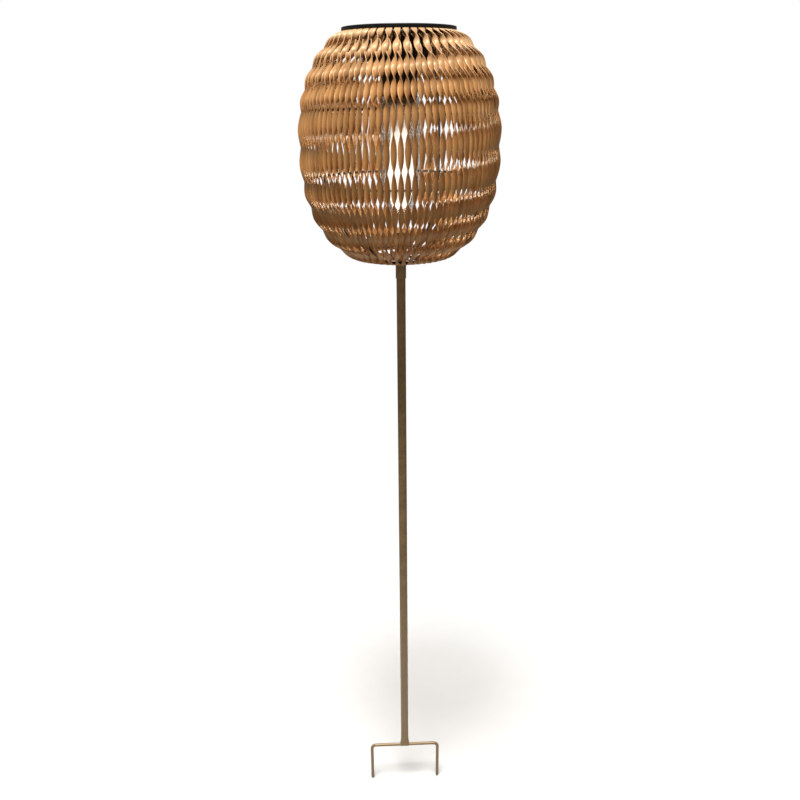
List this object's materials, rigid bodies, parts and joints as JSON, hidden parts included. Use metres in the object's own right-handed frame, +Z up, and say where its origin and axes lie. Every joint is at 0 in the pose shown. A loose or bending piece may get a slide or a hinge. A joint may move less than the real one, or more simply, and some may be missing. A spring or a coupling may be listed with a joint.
{
  "type": "solar garden torch",
  "caption": "Solar garden torch: barrel lantern of twisted rattan-look strips with a lift-out solar lamp, on a slim steel pole with a two-prong ground fork.",
  "frame": {"origin": "on the pole's axis at ground level, under the fork's crossbar; the prongs reach below it", "axes": "+Z up along the pole, X along the fork's crossbar, -Y towards the viewer"},
  "size_m": [0.2494, 0.2494, 1.1567],
  "materials": {
    "bronze_paint": "satin bronze paint on steel tube and wire",
    "frame_paint": "satin dark brown paint on steel wire",
    "rattan_strip": "extruded rattan-look plastic strip with a fine lengthwise grain",
    "black_plastic": "fine moulded texture",
    "clear_plastic": "clear moulded plastic, slightly hazy",
    "white_diffuser": "milky translucent plastic, lit warm white at night",
    "led_lens": "clear epoxy over a yellow phosphor",
    "rubber_seal": "matt soft rubber",
    "solar_silicon": "dark blue silicon with fine silver contact lines",
    "green_board": "green solder mask",
    "battery_sleeve": "plain green shrink sleeve, no lettering",
    "red_insulation": "soft wire insulation",
    "black_insulation": "soft wire insulation",
    "plated_steel": "bright nickel plate"
  },
  "bodies": {
    "stake": {"pole_tube": "bronze_paint", "ground_fork": "bronze_paint", "foot_weld_front": "bronze_paint", "foot_weld_rear": "bronze_paint"},
    "shade": {"bottom_hoop": "frame_paint", "frame_rib_1": "frame_paint", "frame_rib_2": "frame_paint", "frame_rib_3": "frame_paint", "frame_rib_4": "frame_paint", "lower_hoop": "frame_paint", "socket_sleeve": "bronze_paint", "strip_panel_01": "rattan_strip", "strip_panel_02": "rattan_strip", "strip_panel_03": "rattan_strip", "strip_panel_04": "rattan_strip", "strip_panel_05": "rattan_strip", "strip_panel_06": "rattan_strip", "strip_panel_07": "rattan_strip", "strip_panel_08": "rattan_strip", "strip_panel_09": "rattan_strip", "strip_panel_10": "rattan_strip", "strip_panel_11": "rattan_strip", "strip_panel_12": "rattan_strip", "top_hoop": "frame_paint", "upper_hoop": "frame_paint"},
    "lamp": {"battery": "battery_sleeve", "battery_contact_bottom": "plated_steel", "battery_contact_top": "plated_steel", "battery_holder": "black_plastic", "battery_spring": "plated_steel", "bulb_globe": "clear_plastic", "cell_cover": "clear_plastic", "circuit_board": "green_board", "electronics_can": "black_plastic", "globe_seal": "rubber_seal", "led": "led_lens", "led_board": "green_board", "led_lead_black": "black_insulation", "led_lead_red": "red_insulation", "lid_frame": "black_plastic", "lid_screw_1": "plated_steel", "lid_screw_2": "plated_steel", "lid_screw_3": "plated_steel", "lid_seal": "rubber_seal", "light_diffuser": "white_diffuser", "solar_cell": "solar_silicon", "solar_lead_black": "black_insulation", "solar_lead_red": "red_insulation", "switch_body": "plated_steel"},
    "switch": {"switch_knob": "black_plastic"}
  },
  "joints": [
    {"name": "lantern_lift", "type": "slide", "parent": "stake", "child": "shade", "axis": [0, 0, 1], "range_m": [0, 0.07]},
    {"name": "lamp_lift", "type": "slide", "parent": "shade", "child": "lamp", "axis": [0, 0, 1], "range_m": [0, 0.235]},
    {"name": "switch_slide", "type": "slide", "parent": "lamp", "child": "switch", "axis": [0, 0, 1], "range_m": [0, 0.003]}
  ]
}
